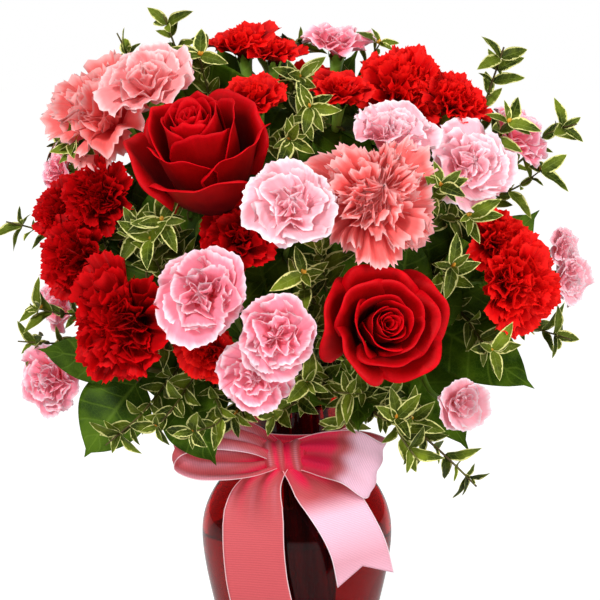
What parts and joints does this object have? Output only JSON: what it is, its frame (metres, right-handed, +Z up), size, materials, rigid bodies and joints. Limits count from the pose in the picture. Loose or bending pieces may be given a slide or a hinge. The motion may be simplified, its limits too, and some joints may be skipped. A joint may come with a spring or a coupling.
{
  "type": "flower arrangement in a glass vase",
  "caption": "Red roses, red and pink carnations and green foliage in a round ruby glass vase with water, tied at the neck with a pink ribbon bow.",
  "frame": {"origin": "centre of the flat foot of the vase, on the surface it stands on", "axes": "+Z up through the vase, -Y towards the front, where the ribbon bow is, +X right"},
  "size_m": [0.3896, 0.2881, 0.458],
  "materials": {
    "ruby_glass": "polished ruby red glass",
    "water": "clear water",
    "ribbon": "finely ribbed grosgrain, pale at the edges",
    "rose_petal": "velvety deep red petals with slightly darker rims",
    "red_petal": "soft, finely veined scarlet petals",
    "salmon_petal": "soft salmon petals, paler at the frilled edges",
    "coral_petal": "soft light coral petals, deeper at the centre",
    "pink_petal": "soft pink petals, paler at the frilled edges",
    "blush_petal": "soft, very pale pink petals",
    "stem_green": "smooth grey-green stems and calyxes",
    "salal_leaf": "leathery dark green leaves with a net of veins",
    "variegated_leaf": "small olive leaves with cream margins, on brown twigs"
  },
  "bodies": {
    "root": {"carnation_red_back": "red_petal", "carnation_red_front": "red_petal", "carnation_red_left": "red_petal", "carnation_red_right": "red_petal", "carnation_red_top": "red_petal", "carnation_salmon_back": "salmon_petal", "carnation_salmon_left": "salmon_petal", "carnation_salmon_middle": "salmon_petal", "ribbon_band": "ribbon", "ribbon_bow": "ribbon", "rose_left": "rose_petal", "rose_right": "rose_petal", "salal_back": "salal_leaf", "salal_left": "salal_leaf", "salal_right": "salal_leaf", "salal_top": "salal_leaf", "spray_blush_far": "blush_petal", "spray_blush_middle": "blush_petal", "spray_blush_right": "blush_petal", "spray_blush_top": "blush_petal", "spray_coral_left": "coral_petal", "spray_pink_back_left": "pink_petal", "spray_pink_back_right": "pink_petal", "spray_pink_crown": "pink_petal", "spray_pink_far_left": "pink_petal", "spray_pink_left": "pink_petal", "spray_pink_low_right": "pink_petal", "spray_pink_middle": "pink_petal", "spray_pink_side": "pink_petal", "spray_pink_top_right": "pink_petal", "spray_pink_upper_left": "pink_petal", "spray_red_back": "red_petal", "spray_red_crown": "red_petal", "spray_red_crown_front": "red_petal", "spray_red_crown_right": "red_petal", "spray_red_low": "red_petal", "spray_red_middle": "red_petal", "sprig_back": "variegated_leaf", "sprig_left": "variegated_leaf", "sprig_low": "variegated_leaf", "sprig_right": "variegated_leaf", "sprig_top": "variegated_leaf", "stem_back_left": "stem_green", "stem_back_right": "stem_green", "stem_carnation_front": "stem_green", "stem_carnation_middle": "stem_green", "stem_carnation_right": "stem_green", "stem_carnation_salmon": "stem_green", "stem_carnation_top": "stem_green", "stem_carnation_upper": "stem_green", "stem_rose_left": "stem_green", "stem_rose_right": "stem_green", "stem_spray_crown": "stem_green", "stem_spray_far_left": "stem_green", "stem_spray_front": "stem_green", "stem_spray_middle": "stem_green", "stem_spray_right": "stem_green", "stem_spray_top": "stem_green", "vase": "ruby_glass", "water": "water"}
  },
  "joints": []
}
